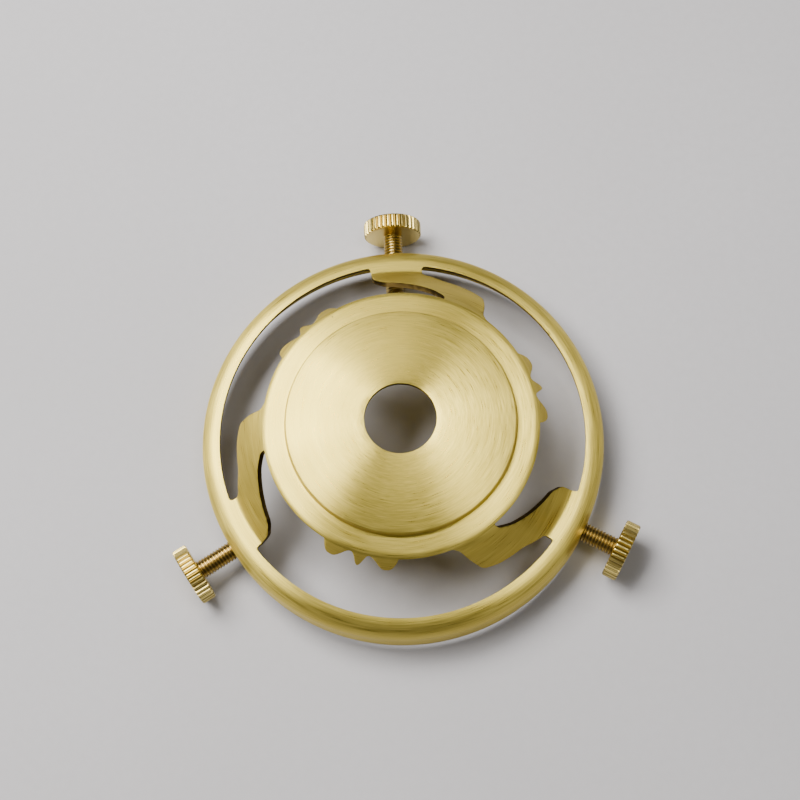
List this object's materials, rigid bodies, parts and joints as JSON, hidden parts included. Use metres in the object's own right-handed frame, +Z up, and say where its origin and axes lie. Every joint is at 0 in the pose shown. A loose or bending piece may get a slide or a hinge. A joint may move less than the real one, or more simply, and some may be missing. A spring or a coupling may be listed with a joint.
{
  "type": "lamp shade gallery",
  "caption": "Brushed brass gallery that clamps a glass shade's lip under a lamp tube with knurled thumbscrews.",
  "frame": {"origin": "on the axis of the lamp-tube hole, in the plane of the nut seat on top of the centre disc", "axes": "+Z up along the lamp tube, away from the shade; +Y through the back thumbscrew; +X to the right seen from above"},
  "size_m": [0.0717, 0.0681, 0.0185],
  "materials": {
    "satin_brass": "satin, brushed in fine circles about the axis",
    "thumbscrew_brass": "turned and knurled, brighter and more golden than the body"
  },
  "bodies": {
    "body": {"gallery_body": "satin_brass"},
    "screw_back": {"thumbscrew_back": "thumbscrew_brass"},
    "screw_left": {"thumbscrew_left": "thumbscrew_brass"},
    "screw_right": {"thumbscrew_right": "thumbscrew_brass"}
  },
  "joints": [
    {"name": "screw_back_travel", "type": "slide", "parent": "body", "child": "screw_back", "axis": [0, -1, 0], "range_m": [-0.005, 0.0036]},
    {"name": "screw_left_travel", "type": "slide", "parent": "body", "child": "screw_left", "axis": [0.866, 0.5, 0], "range_m": [-0.0031, 0.0055]},
    {"name": "screw_right_travel", "type": "slide", "parent": "body", "child": "screw_right", "axis": [-0.866, 0.5, 0], "range_m": [-0.0036, 0.005]}
  ]
}
